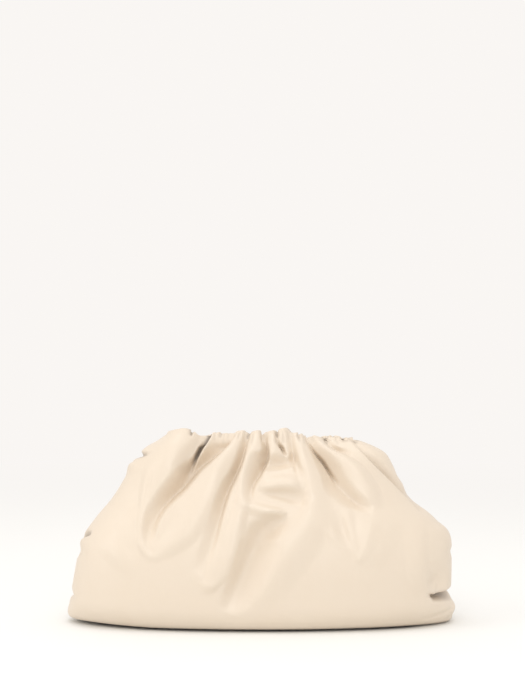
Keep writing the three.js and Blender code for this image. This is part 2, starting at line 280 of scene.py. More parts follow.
def hem_ovals():
    """Rows of the hem, from its edge inside the mouth to the outer foot of the roll."""
    rows = []
    for drop in np.linspace(HEM_DEPTH, LIP_THICKNESS / 2, HEM_ROWS, endpoint=False):
        rows.append((LIP_HEIGHT - drop, 0.0))
    for turn in np.linspace(0, math.pi, ROLL_ROWS, endpoint=False):
        drop = LIP_THICKNESS / 2 * (1 - math.sin(turn))
        rows.append((LIP_HEIGHT - drop, 0.5 - 0.5 * math.cos(turn)))
    made = []
    for height, across in rows:
        half = MOUTH_HALF_LENGTH - LIP_THICKNESS * (1 - across)
        deep = MOUTH_HALF_GAP + LIP_THICKNESS * across
        made.append((height, half, half, deep, MOUTH_SQUARE, MOUTH_SLOT))
    return np.array(made)


def base_ovals(last):
    """The floor's oval, drawn in towards its middle."""
    return np.array([(last[0], *(last[1:4] * share), last[4], last[5]) for share in BASE_SHARES])


hem = hem_ovals()
base = base_ovals(wall[-1])
ovals = np.vstack([hem, wall, base])
row_of_lip = len(hem)
print("rows", len(ovals), "with", len(hem), "of hem and", len(base), "of base")

# %% [markdown]
# Every oval gets the same number of points, so that the columns run down the bag as the threads of a cut
# sheet would. The front has more than twice as many as the back, because its folds are the ones that show.
# The points stand at even steps of the oval's own length. Near the lip the oval turns into a slot with round
# ends, which is the form of the frame. The mouth of this bag drops a little to the right, so the upper rows
# are tilted now, before any fold is drawn on them.

# %% Columns around the bag
FRONT_COLUMNS = 320
BACK_COLUMNS = 150
COLUMNS = FRONT_COLUMNS + BACK_COLUMNS
QUARTER_STEPS = 400
MOUTH_TILT = math.radians(1.4)
TILT_HEIGHTS = (0.5, 0.9)

front_places = np.linspace(-1, 1, FRONT_COLUMNS, endpoint=False)
back_places = np.linspace(1, 3, BACK_COLUMNS, endpoint=False)
places = np.concatenate([front_places, back_places])
behind = places > 1
share_of_half = np.where(behind, 2 - places, places)


def oval_quarter(half_width, half_depth, square, slot, shares):
    """Points of a quarter oval, blended with a slot's, from its front middle (0) to its end (1)."""
    angle = np.linspace(0, math.pi / 2, QUARTER_STEPS)
    x = half_width * np.sin(angle) ** (2 / square)
    y = half_depth * np.abs(np.cos(angle)) ** (2 / square)
    length = np.concatenate([[0], np.cumsum(np.hypot(np.diff(x), np.diff(y)))])
    wanted = shares * length[-1]
    oval = np.column_stack([np.interp(wanted, length, x), np.interp(wanted, length, y)])
    straight = half_width - half_depth
    along = shares * (straight + half_depth * math.pi / 2)
    turn = np.clip((along - straight) / half_depth, 0, math.pi / 2)
    slot_x = np.minimum(along, straight) + half_depth * np.sin(turn)
    slot_y = half_depth * np.cos(turn)
    return oval + slot * (np.column_stack([slot_x, slot_y]) - oval)


def oval_ring(row):
    """All the points of one level oval, at the columns' places: -1 left, 0 front, 1 right, 2 back."""
    height, left, right, deep, square, slot = row
    ring = np.zeros((COLUMNS, 3))
    for half_width, side in ((left, -1), (right, 1)):
        pick = (share_of_half < 0) if side < 0 else (share_of_half >= 0)
        quarter = oval_quarter(half_width, deep, square, slot, np.abs(share_of_half[pick]))
        ring[pick, 0] = side * quarter[:, 0]
        ring[pick, 1] = np.where(behind[pick], quarter[:, 1], -quarter[:, 1])
    ring[:, 2] = height
    return ring


smooth_form = np.stack([oval_ring(row) for row in ovals])
tilt_share = smoothstep(smooth_form[..., 2] / LIP_HEIGHT, *TILT_HEIGHTS)
smooth_form[..., 2] -= smooth_form[..., 0] * math.tan(MOUTH_TILT) * tilt_share
print("smooth form", smooth_form.shape, "points")

# %% [markdown]
# ## Where folds may go, and which way
#
# Folds could come from a cloth simulation, but a simulated sheet settles into folds of its own, and this
# photograph shows where each one lies. So every fold here is a move of the leather away from its smooth form.
# Low on the wall it goes along the surface's own normal. Higher up, a ridge turns from level to nearly
# upright, as gathered leather stands up above its frame, and a valley goes almost level into the bag.

# %% Fold directions
LIP_LEAN = math.radians(25)
RIDGE_LEAN = math.radians(90)
VALLEY_LEAN = math.radians(80)
TINY = 1e-9


def grid_normals(grid):
    """Outward normals of the sheet, from the neighbouring points."""
    down = np.gradient(grid, axis=0)
    around = np.roll(grid, -1, axis=1) - np.roll(grid, 1, axis=1)
    normal = np.cross(down, around)
    return normal / np.maximum(np.linalg.norm(normal, axis=2, keepdims=True), TINY)


def fold_directions(grid, lean, lip_from, wall_to):
    """Out of the wall low down. It leans by an angle from upright higher up, and by LIP_LEAN on the lip."""
    normal = grid_normals(grid)
    up = grid[..., 2:3] / LIP_HEIGHT
    level = normal * (1, 1, 0)
    level = level / np.maximum(np.linalg.norm(level, axis=2, keepdims=True), TINY)
    slope = lean + (LIP_LEAN - lean) * smoothstep(up, lip_from, 1)
    raised = level * np.sin(slope) + np.cos(slope) * np.array((0, 0, 1))
    mixed = raised + (normal - raised) * (1 - smoothstep(up, *wall_to))
    return mixed / np.linalg.norm(mixed, axis=2, keepdims=True)


ridge_way = fold_directions(smooth_form, RIDGE_LEAN, lip_from=0.6, wall_to=(0.55, 0.8))
valley_way = fold_directions(smooth_form, VALLEY_LEAN, lip_from=0.94, wall_to=(0.3, 0.6))
print("ridges and valleys have a direction at each of", ridge_way[..., 0].size, "points")

# %% [markdown]
# The frame and the floor leave folds only so much room. Ridges start on the inner side of the roll, and both
# kinds end above the foot, where the leather lies on the floor. A valley may come near the depth in its row
# of the table and never passes it: almost nothing inside the mouth, 4 mm on the lip, and more below.

# %% Room for folds
ROLL_RISE = 0.45
FOOT_ROWS = 6
VALLEY_ROOM = [
    dict(rows_below_lip=-8, deep=0.01),
    dict(rows_below_lip=-4, deep=4.0),
    dict(rows_below_lip=0, deep=4.2),
    dict(rows_below_lip=3, deep=6.5),
    dict(rows_below_lip=6, deep=10.5),
    dict(rows_below_lip=10, deep=18.0),
    dict(rows_below_lip=20, deep=40.0),
]

rows_down = np.arange(len(ovals))
below_lip = rows_down - row_of_lip
wall_share = np.clip((row_of_lip + WALL_ROWS - 1 - rows_down) / FOOT_ROWS, 0, 1)[:, None]
ridge_share = np.clip((rows_down - HEM_ROWS) / (ROLL_ROWS * ROLL_RISE), 0, 1)[:, None] * wall_share
room_rows = [row["rows_below_lip"] for row in VALLEY_ROOM]
room_depths = [row["deep"] for row in VALLEY_ROOM]
valley_room = np.interp(below_lip, room_rows, room_depths)[:, None]


def lifted(ridges, valleys, rows):
    """The lifts of summed ridges and valleys on the given rows. Valleys stop short of the frame."""
    room = valley_room[rows]
    return ridges * ridge_share[rows], room * np.tanh(valleys / room) * wall_share[rows]


print("valleys may be", valley_room[row_of_lip, 0], "mm deep at the foot of the roll")

# %% [markdown]
# ## Folds drawn on a sketch
#
# A maker who copies folds draws them over the picture. Each fold here is a line of a few points on an upright
# sketch through the middle of the bag, in millimetres: x to the right and h up from the floor, as the camera
# sees them. A point is (x, h, rise, left, right). Rise says how far the leather is lifted there, below 0 for
# a valley, and left and right say how wide the fold is on each side. A smooth curve joins the points. Lines
# run down the bag, and a line that runs across goes from left to right, so its left is below it.
#
# A fold is round, and crease makes it sharper, up to 1. Where a gather lies over its neighbour, overlap says
# how far its edge is pushed across the line, to the right, or to the left where it is below 0. Painted shade
# says how dark a tight pleat is painted, as the shade that falls inside it.

# %% Lift of one fold
LINE_STEPS = 10
REACH = 2.6
LEAST_WIDTH = 0.5
PAINTED_SHADE_DEPTHS = (0.15, 0.8)
PUSHED_DEPTHS = (0, 0.6)
PUSH_PEAK = 0.8


def nearest_on_line(line, spots):
    """Of a line's nearest point to each spot: its values, distance, way to the right, and the spot's side."""
    start = line[:-1, :2]
    run = np.diff(line[:, :2], axis=0)
    offset = spots[:, None, :] - start[None]
    share = np.clip((offset * run).sum(2) / (run * run).sum(1), 0, 1)
    away = np.linalg.norm(offset - share[..., None] * run, axis=2)
    best = away.argmin(1)
    pick = np.arange(len(spots))
    values = line[best, 2:] + share[pick, best][:, None] * (line[best + 1, 2:] - line[best, 2:])
    right = run[best][:, ::-1] * (-1, 1) / np.linalg.norm(run[best], axis=1)[:, None]
    on_right = (offset[pick, best] * right).sum(1) > 0
    return values, away[pick, best], right, on_right


def fold_moves(fold, spots):
    """How one fold moves each spot of its sketch: aside, up and outwards, and its painted shade."""
    line = smooth_path(fold["points"], LINE_STEPS)
    moves = np.zeros((len(spots), 4))
    reach = line[:, 3:].max() * REACH
    low = line[:, :2].min(0) - reach
    high = line[:, :2].max(0) + reach
    near = np.flatnonzero(((spots > low) & (spots < high)).all(1))
    values, distance, right, on_right = nearest_on_line(line, spots[near])
    width = np.maximum(np.where(on_right, values[:, 2], values[:, 1]), LEAST_WIDTH)
    across = distance / width
    inside = np.minimum(across, 1)
    crease = fold.get("crease", 0)
    profile = (1 - crease) * (1 - inside**2) ** 2 + crease * (1 - inside) ** 2
    moves[near, 2] = values[:, 0] * profile
    depth_share = np.abs(values[:, 0]) / np.abs(line[:, 2]).max()
    # Painted shade: a tight pleat is coloured darker where shade falls inside it.
    moves[near, 3] = fold.get("painted_shade", 0) * profile * smoothstep(depth_share, *PAINTED_SHADE_DEPTHS)
    overlap = fold.get("overlap", 0)
    if overlap:
        over = on_right if overlap < 0 else ~on_right
        push = smoothstep(across, 0, PUSH_PEAK) * (1 - smoothstep(across, PUSH_PEAK, REACH)) * over
        moves[near, :2] = right * (overlap * push * smoothstep(depth_share, *PUSHED_DEPTHS))[:, None]
    return moves


print("a fold reaches", REACH, "times its width to each side")

# %% [markdown]
# The folds of a sketch add up. The camera doesn't see a lifted ridge or a pushed valley at the place on the
# smooth leather that it starts from. So each sketch is worked backwards: the points of its folds are moved, a
# few times over, until the finished folds are seen where they were drawn. A fold along the outline is held
# where it was drawn, because the smooth form is already right there.

# %% Folds of one sketch
BACK_ROUNDS = 6
BACK_STEP = 0.7
SPOTS_STEP = 3


def summed(folds, spots):
    """Moves of all folds at each spot: aside, up, the lifts of ridges and of valleys, and the painted shade.
    """
    total = np.zeros((len(spots), 5))
    for fold in folds:
        moves = fold_moves(fold, spots)
        total[:, :2] += moves[:, :2]
        total[:, 2] += np.maximum(moves[:, 2], 0)
        total[:, 3] += np.minimum(moves[:, 2], 0)
        total[:, 4] = np.maximum(total[:, 4], moves[:, 3])
    return total


def with_starts(folds, starts):
    """The folds with new places for their points, in the same order."""
    left = iter(starts)
    return [dict(fold, points=[(*next(left), *point[2:]) for point in fold["points"]]) for fold in folds]


def drawn_back(folds, spots, ridge_drift, valley_drift, rows):
    """The folds with their points moved from where they are seen to where they start."""
    drawn = np.array([point[:2] for fold in folds for point in fold["points"]], float)
    starts = drawn.copy()
    free = np.array([[not fold.get("held", False)] for fold in folds for point in fold["points"]])
    for _ in range(BACK_ROUNDS):
        total = summed(with_starts(folds, starts), starts)
        nearest = np.array([np.linalg.norm(spots - start, axis=1).argmin() for start in starts])
        rise, fall = lifted(total[:, 2:3], total[:, 3:4], rows[nearest])
        seen = starts + total[:, :2] + rise * ridge_drift[nearest] + fall * valley_drift[nearest]
        starts = starts + BACK_STEP * free * (drawn - seen)
    return with_starts(folds, starts)


def sketch_moves(folds, project, mask):
    """Moves of a table of folds on one sketch, as grids."""
    spots = project(smooth_form).reshape(-1, 2)
    ridge_drift = project(smooth_form + ridge_way).reshape(-1, 2) - spots
    valley_drift = project(smooth_form + valley_way).reshape(-1, 2) - spots
    rows = np.repeat(rows_down, COLUMNS)
    shown = (mask > 0.5) & (below_lip[:, None] > -ROLL_ROWS / 2)
    usable = np.flatnonzero(shown.reshape(-1))[::SPOTS_STEP]
    placed = drawn_back(folds, spots[usable], ridge_drift[usable], valley_drift[usable], rows[usable])
    return summed(placed, spots).reshape(*smooth_form.shape[:2], 5) * mask[None, :, None]


print("sketches are worked backwards in", BACK_ROUNDS, "rounds")

# %% [markdown]
# ## Gathers of the front
#
# On the left the leather is drawn in deeply. A long valley runs down from the lip to the belly, with a tight
# dark slit beside it where the leather doubles, and a broad round lobe stands to its left. A second valley
# runs down more steeply. Ridges and rims are the swells between them.

# %% Gathers on the left
LEFT_GATHERS = [
    dict(name="left valley", crease=0.2, overlap=-2.6, points=[
        (-29, 187, -4, 13, 5), (-31, 181, -9, 15, 6), (-34.5, 175.5, -14, 17, 7),
        (-41, 169.5, -17, 16, 8),
        (-50.5, 162, -19, 14, 9), (-60.5, 154, -21, 13, 10), (-69.5, 144.5, -22, 14, 12),
        (-78.5, 134, -19, 14, 13), (-91.5, 122, -15, 12.5, 13), (-100.5, 111, -11, 12, 12),
        (-108, 98, -7.5, 11, 11), (-113, 84, -3, 11, 10), (-116, 75, 0, 11, 9)]),
    dict(name="slit of the left valley", painted_shade=0.85, points=[
        (-50.5, 188.5, -12, 2.6, 1.8), (-53.5, 181.5, -16, 4.2, 2.4), (-57.5, 175.5, -16, 3.4, 2.8),
        (-62.5, 168.5, -13, 3.2, 2.8), (-66.8, 160, -8, 2.8, 2.7), (-71, 152, -3, 2.7, 3),
        (-75, 145, 0, 3, 3.5)]),
    dict(name="flank of the slit", crease=0.1, painted_shade=0.1, points=[
        (-52, 187, -4, 12, 3), (-55, 181, -6, 13, 3), (-60.5, 172.5, -6, 13, 4), (-67, 162, -6, 14, 5),
        (-73, 151, -5, 14, 6), (-81, 140, 0, 12, 6)]),
    dict(name="left lobe", points=[
        (-80, 191, 6, 18, 19), (-93, 170, 7, 22, 20), (-106, 145, 5, 24, 22), (-118, 112, 0, 24, 22)]),
    dict(name="rim of the left valley", crease=0.1, points=[
        (-112, 160, 0, 7, 6), (-116, 142, 1.6, 7, 6), (-119, 122, 2, 7, 6), (-120.5, 102, 2.2, 7, 6),
        (-121, 82, 2.2, 7, 6), (-117, 69, 2.2, 6, 6), (-109, 64, 1.6, 6, 6), (-98, 68, 0, 6, 6)]),
    dict(name="second ridge", points=[
        (-24, 186, 1.5, 6, 9), (-29, 176, 4, 8, 10), (-36, 168, 5, 9, 11), (-44, 156, 5.5, 11, 12),
        (-49, 142, 5.5, 16, 13), (-54.5, 127, 5.5, 22, 14), (-62.5, 110, 5, 24, 14),
        (-73.5, 91, 4, 22, 14),
        (-91.5, 75, 3, 16, 12), (-111, 64, 0, 10, 9)]),
    dict(name="second valley", crease=0.25, overlap=-3, points=[
        (-13, 186, -3, 6, 4), (-16.5, 172, -7.5, 7, 6), (-21, 157, -10.5, 8, 7.5),
        (-26.9, 144, -12, 8.5, 8), (-32.3, 133, -11, 10, 9), (-37.7, 119, -9, 10.5, 9.5),
        (-43, 100, -6.8, 11, 10), (-48.7, 81, -5, 12, 10.5), (-56, 61, -3, 12, 10),
        (-62, 45, 0, 12, 10)]),
    dict(name="rim of the second valley", points=[
        (-67, 52, 0, 6, 6), (-64, 42, 0.7, 7, 6), (-58, 35, 0.9, 7, 7), (-50, 33, 0.8, 7, 7),
        (-43, 36, 0, 7, 7)]),
]
print(len(LEFT_GATHERS), "folds on the left")

# %% [markdown]
# In the middle a short lobe hangs from the lip over the leather behind it. Its underside is a valley that
# runs across, and it gives the lobe the small shadow that it has in the photograph.

# %% Gathers in the middle
MIDDLE_GATHERS = [
    dict(name="third ridge", points=[
        (-5.5, 189, 2, 6, 6), (-8, 176, 4, 7, 9), (-13.5, 162, 4.5, 7, 11), (-17, 148, 4.5, 7, 11),
        (-18.5, 134, 4.5, 7, 10), (-20, 118, 4.5, 8, 9), (-24, 100, 4.2, 9, 9), (-29.5, 74, 4, 14, 9),
        (-35.5, 55, 3.8, 18, 9), (-42, 42, 3.2, 18, 8), (-51, 34, 2.2, 14, 7), (-62, 30, 0, 10, 7)]),
    dict(name="third valley", crease=0.3, overlap=-2.5, points=[
        (0.5, 187, -3, 4, 3), (4.5, 178, -7, 6, 4), (6.5, 170, -11, 9, 4.5), (6, 162, -14.5, 15, 5.5),
        (2.5, 154, -15, 17, 6), (-2.5, 145.5, -12, 15, 7), (-9, 136.5, -8, 13, 8),
        (-12.5, 128, -4.5, 10, 8), (-14, 120, 0, 7, 7)]),
    dict(name="middle lobe", points=[
        (9.5, 189, 2, 6, 6), (12, 176, 4, 7, 6), (13.5, 164, 0, 7, 7)]),
    dict(name="middle lobe underside", crease=0.2, points=[
        (-2, 152, 0, 6, 8), (6, 155, -8, 7, 11), (14, 156, -10, 7, 12), (23, 157, -9.5, 7, 12),
        (32, 160, -5, 6, 10), (38, 164, 0, 6, 9)]),
    dict(name="middle crease", crease=0.3, painted_shade=0.1, points=[
        (15.5, 181, -2, 1.6, 3), (17, 176, -6, 1.7, 3), (19.5, 172.5, -10, 1.8, 3.5),
        (22, 168.5, -6, 2, 4),
        (26, 165, 0, 2.4, 4)]),
    dict(name="crease beside the fourth ridge", crease=0.4, points=[
        (29.5, 183, -2, 6, 4), (32, 167, -6, 7, 4), (35.5, 156, -5, 7, 4), (43, 145, 0, 5, 4)]),
    dict(name="middle bump", points=[
        (20.5, 195, 5, 7, 9), (22, 189, 4, 7, 9), (23, 178, 0, 7, 8)]),
    dict(name="lip swell", points=[
        (-64, 188, 0, 14, 8), (-50, 189, 2, 14, 8), (-35, 190, 4.2, 14, 8), (0, 190, 4.5, 14, 8),
        (30, 189, 3.6, 14, 8), (48, 187, 0, 14, 8)]),
]
print(len(MIDDLE_GATHERS), "folds in the middle")

# %% [markdown]
# On the right the longest ridge of the bag runs down from the lip and fades out low on the front. Beside it a
# deep valley turns under the right shoulder, whose edge is part of the outline.

# %% Gathers on the right
RIGHT_GATHERS = [
    dict(name="fourth ridge", crease=0.1, points=[
        (36.5, 186, 1.5, 7, 7), (41.5, 167, 4.5, 9, 9), (46, 152, 5, 11, 14), (49, 138, 5, 11, 18),
        (50, 124, 4.8, 10, 22), (49, 110, 4.8, 13, 25), (43, 96, 5, 19, 27), (34.5, 81, 4.8, 23, 29),
        (24.5, 65, 4.2, 25, 29), (10, 42, 2.9, 23, 27), (-12, 17, 0, 14, 22)]),
    dict(name="left rim of the fourth ridge", points=[
        (26, 98, 0, 8, 10), (15.5, 85, 0.5, 8, 10), (3.5, 69, 0.5, 8, 10), (-6.5, 52, 0.4, 8, 10),
        (-19, 30, 0, 8, 9)]),
    dict(name="right valley", crease=0.25, points=[
        (45, 181, -3, 3, 7), (52, 169, -7, 5, 9), (59.5, 159, -10, 9, 11), (67.2, 148, -12, 14, 12),
        (73.7, 138, -12, 17, 12), (81, 130, -10.5, 16, 11), (88.5, 122.5, -9, 13, 10),
        (97, 117, -7, 9, 9),
        (105, 113.5, -3.5, 7, 7), (112, 111, 0, 6, 6)]),
    dict(name="slit of the right valley", points=[
        (44.5, 182, -1, 1.3, 1.3), (49.5, 174, -3.5, 1.5, 1.5), (54.3, 166.5, -8, 1.9, 1.9),
        (60.8, 158.5, -11.5, 2.1, 2.1), (66, 150, -9.5, 2.2, 2.2), (71.5, 142.5, -4, 2.4, 2.4),
        (77, 136, 0, 2.4, 2.4)]),
    dict(name="fifth ridge", crease=0.1, points=[
        (51.5, 184, 2, 6, 6), (67.5, 172.5, 4.5, 8, 6), (85, 163.5, 5.2, 12, 8), (97, 151.5, 5.8, 16, 12),
        (105, 138.5, 5.3, 18, 13), (111, 125, 3.8, 17, 13), (115, 110, 0, 13, 13)]),
    dict(name="upper right crease", crease=0.3, points=[
        (63, 181, -3, 2, 4), (68, 175.5, -3.5, 2.2, 5), (76, 170.5, -6, 2.2, 5),
        (82.5, 168.5, -4, 2.6, 6),
        (91, 166.5, 0, 3, 7)]),
    dict(name="right shoulder edge", crease=0.5, held=True, painted_shade=0.1, points=[
        (95.5, 177, -2, 2.5, 6), (107, 165.5, -4, 2.5, 7), (118, 154.5, -5, 2.5, 7),
        (126, 147, -6, 2.5, 6),
        (136, 137, -6, 2.5, 5), (147.5, 125, -5, 2.5, 4), (157.5, 114, -4, 2.5, 4),
        (166, 106, 0, 2.5, 3)]),
]
print(len(RIGHT_GATHERS), "folds on the right")

# %% [markdown]
# Below the gathers the belly is slack. Two pillows of leather lie over the top of one more valley, a broad
# tongue hangs to the right of it, and low swells give the two corners their soft facets.

# %% Folds of the belly
BELLY_FOLDS = [
    dict(name="upper pillow", points=[
        (-6, 133, 0, 7, 10), (4.5, 136, 4, 8, 11), (18.5, 139, 6, 9, 12), (32.5, 138, 5.5, 9, 12),
        (43, 132.5, 0, 7, 9)]),
    dict(name="crescent", crease=0.1, points=[
        (-4, 131, 0, 4, 3), (4.5, 128.5, -1.4, 4, 6), (14.5, 125.5, -2.7, 5, 9), (25.5, 123, -3.6, 6, 11),
        (36.5, 121.5, -3.6, 8, 11), (45.5, 123.5, -1.6, 8, 10), (51, 128, 0, 7, 8)]),
    dict(name="lower pillow", points=[
        (-19, 119.5, 1, 7, 7), (-7.5, 114, 5, 8, 9), (3.5, 111, 6, 8, 9), (13.5, 109.5, 5.5, 7, 8),
        (25, 106.5, 0, 5, 6)]),
    dict(name="roof of the fourth valley", points=[
        (-19, 99, 0, 9, 6), (-10, 95, -1.5, 12, 9), (0, 92, -3, 14, 11), (10, 92.5, -4.4, 14, 11),
        (19, 97, -4, 12, 9), (27, 103.5, 0, 7, 5)]),
    dict(name="fourth valley", crease=0.12, points=[
        (20, 105, -2, 5, 10), (9.5, 99, -5, 12, 18), (0.5, 88, -9.5, 17, 26), (-5.5, 77, -12.5, 17, 30),
        (-11.5, 64, -12, 16, 31), (-17, 50, -11, 14, 30), (-26, 32, -8.5, 13, 27),
        (-31.5, 18, -4.5, 12, 21), (-36, 8, 0, 11, 14)]),
    dict(name="tongue", points=[
        (111, 116, 0, 18, 16), (111, 98, 2, 20, 30), (108.5, 80, 2.3, 20, 32), (103.5, 64, 1.6, 15, 24),
        (98.5, 54, 0, 10, 12)]),
    dict(name="left rim of the tongue", points=[
        (82, 119, 0, 6, 6), (87.5, 107, 0.7, 6, 6), (90, 92, 0.8, 6, 6), (92.5, 76, 0.8, 6, 6),
        (97, 62, 0.6, 6, 6)]),
    dict(name="right rim of the tongue", points=[
        (115, 113, 0, 6, 9), (112.5, 98, 0.4, 6, 12), (109.5, 85, 0.5, 6, 12), (105, 72, 0.6, 6, 10),
        (99.5, 61, 0.6, 6, 7)]),
    dict(name="left of the tongue", points=[
        (74, 112, 0, 10, 7), (80, 94, -2.3, 10, 7), (87, 72, 0, 9, 7)]),
    dict(name="right of the tongue", points=[
        (119, 108, 0, 9, 14), (114, 84, -0.6, 9, 14), (104, 54, 0, 8, 12)]),
    dict(name="edge beside the tongue", crease=0.1, points=[
        (55, 104, 0, 7, 8), (68.5, 89, 1, 7, 8), (79.5, 78, 1, 7, 8), (90, 64, 0, 7, 8)]),
    dict(name="left facet", points=[
        (-160, 82, 0, 14, 16), (-146, 66, 2, 14, 16), (-126, 46, 0, 14, 16)]),
    dict(name="right corner edge", points=[
        (158, 104, 0, 16, 10), (160, 80, 1.5, 18, 10), (162, 50, 2, 18, 10), (163, 27, 0, 16, 9)]),
]
print(len(BELLY_FOLDS), "folds on the belly")

# %% [markdown]
# The lip is drawn together on its frame. The photograph shows ten notches clearly, and each has a row of its
# own: its place, how far it leans aside on its way down, how long and deep it is, and how much painted shade
# its tight fold gets. Between them are fine pleats that can't be told apart, so waves make their steps,
# lengths and depths slightly uneven. A wave is given by its middle, its swing and its pace.

# %% Pleats of the lip
LIP_NOTCHES = [
    dict(x=-49.5, lean=-4, down=9, deep=3, painted_shade=0.9),
    dict(x=-70, lean=-1, down=4, deep=4, painted_shade=0.6), dict(x=-39.5, lean=-3, down=5, deep=2, painted_shade=0.3),
    dict(x=-12.5, lean=-2, down=6, deep=2.5, painted_shade=0.5), dict(x=0.5, lean=0, down=8, deep=2.5, painted_shade=0.2),
    dict(x=15, lean=1, down=4, deep=3, painted_shade=0.5), dict(x=36.5, lean=1, down=6, deep=2, painted_shade=0.2),
    dict(x=62, lean=3, down=7, deep=4, painted_shade=0.8), dict(x=78.5, lean=4, down=6, deep=4, painted_shade=0.8),
    dict(x=90, lean=4, down=8, deep=5, painted_shade=0.9),
]
FRONT_PLEATS = dict(
    count=19, first=-46, step=7.4, shift=(1.9, 2.4), lean=0.05,
    down=(9, 3, 1.7), deep=(1.0, 0.5, 3.1), painted_shade=0.1)
NOTCH_CREASE = 0.7
NOTCH_WIDTHS = (2.2, 2.6, 3.0)
ABOVE_LIP = 1.0


def notch_fold(row, tilt=MOUTH_TILT):
    """A short sharp pleat where the lip is drawn together."""
    top = LIP_HEIGHT + ABOVE_LIP - row["x"] * math.tan(tilt)
    foot = top - ABOVE_LIP - row["down"]
    middle = (row["x"] + row["lean"] / 2, (top + foot) / 2)
    spots = [(row["x"], top), middle, (row["x"] + row["lean"], foot)]
    rises = (-row["deep"], -row["deep"], 0)
    points = [(*spot, rise, width, width) for spot, rise, width in zip(spots, rises, NOTCH_WIDTHS)]
    return dict(name="lip notch", crease=NOTCH_CREASE, painted_shade=row["painted_shade"], points=points)


def wave(number, middle, swing, pace):
    """A value that swings around its middle from one pleat to the next."""
    return middle + swing * math.sin(pace * number)


def lip_pleats(plan):
    """Rows of fine pleats along a lip, like those of the notches."""
    rows = []
    for number in range(plan["count"]):
        x = wave(number, plan["first"] + plan["step"] * number, *plan["shift"])
        down = wave(number, *plan["down"])
        deep = wave(number, *plan["deep"])
        rows.append(dict(x=x, lean=x * plan["lean"], down=down, deep=deep, painted_shade=plan["painted_shade"]))
    return rows


print(len(LIP_NOTCHES), "notches and", FRONT_PLEATS["count"], "fine pleats on the front lip")

# %% [markdown]
# The front's sketch is what the camera sees. Its folds go a little way round both ends and then fade out, so
# that none of them stops at the outline.

# %% Work out the front
FRONT_WRAP = (0.93, 1.0)


def seen_from_the_front(grid):
    """Where the camera sees each point on the upright plane through the middle of the bag."""
    eye = np.array(EYE) / MM
    away = grid - eye
    return (eye + away * (-eye[1] / away[..., 1:2]))[..., [0, 2]]


from_end = np.abs(share_of_half)
front_mask = np.where(behind, smoothstep(from_end, *FRONT_WRAP), 1.0)
front_table = LEFT_GATHERS + MIDDLE_GATHERS + RIGHT_GATHERS + BELLY_FOLDS
front_table += [notch_fold(row) for row in LIP_NOTCHES + lip_pleats(FRONT_PLEATS)]
front_moves = sketch_moves(front_table, seen_from_the_front, front_mask)
print(len(front_table), "front folds, from", front_moves[..., 3].min().round(1), "mm deep")

# %% [markdown]
# ## Tucks of the ends
#
# The ends are where a soft bag slumps: short tucks run across them and leave the small notches in its
# outline. They are drawn on two more sketches, seen from the side, with y to the back and z up.

# %% Tucks of the left end
LEFT_TUCKS = [
    dict(name="shoulder tuck", crease=0.7, painted_shade=0.5, points=[
        (-22, 168, 0, 4, 5), (-6, 166, -6, 5, 5), (10, 163.5, -7, 5, 5), (24, 154, -6, 7, 8),
        (38, 134, -5, 10, 12), (46, 108, 0, 12, 14)]),
    dict(name="shoulder bulge", points=[
        (-24, 157, 0, 9, 5), (-4, 157, 2, 10, 5), (16, 155, 2.5, 10, 5), (34, 152, 0, 9, 5)]),
    dict(name="waist tuck", crease=0.5, painted_shade=0.5, points=[
        (-26, 91, 0, 3, 4), (-19, 88.5, -4, 3, 5), (-11, 85.5, -6, 3, 6), (-4, 83.3, -4, 3, 6),
        (3, 83, -1.5, 4, 7),
        (16, 86, -4, 8, 10), (32, 94, -4, 11, 13), (48, 108, 0, 12, 14)]),
    dict(name="end gather", crease=0.3, points=[
        (8, 146, 0, 6, 8), (11, 130, -6, 8, 12), (15, 112, -6, 10, 14), (20, 96, 0, 10, 14)]),
    dict(name="back gather", crease=0.3, points=[
        (32, 86, 0, 12, 12), (42, 66, -6, 12, 14), (48, 44, -4, 12, 12), (52, 26, 0, 12, 12)]),
    dict(name="belly dent", crease=0.2, points=[
        (-34, 72, 0, 9, 9), (0, 71, -3, 10, 9), (34, 66, 0, 9, 9)]),
    dict(name="foot tuck", crease=0.7, points=[
        (-30, 25, 0, 5, 7), (-10, 26, -4, 5, 9), (16, 26, -5, 5, 9), (34, 31, -2.5, 7, 10),
        (50, 40, 0, 9, 10)]),
]
print(len(LEFT_TUCKS), "tucks on the left end")

# %% [markdown]
# The right end has the deepest tuck of all. Low down a corner of the base sticks out as an ear, and the belly
# hangs over it with a dark gap between the two.

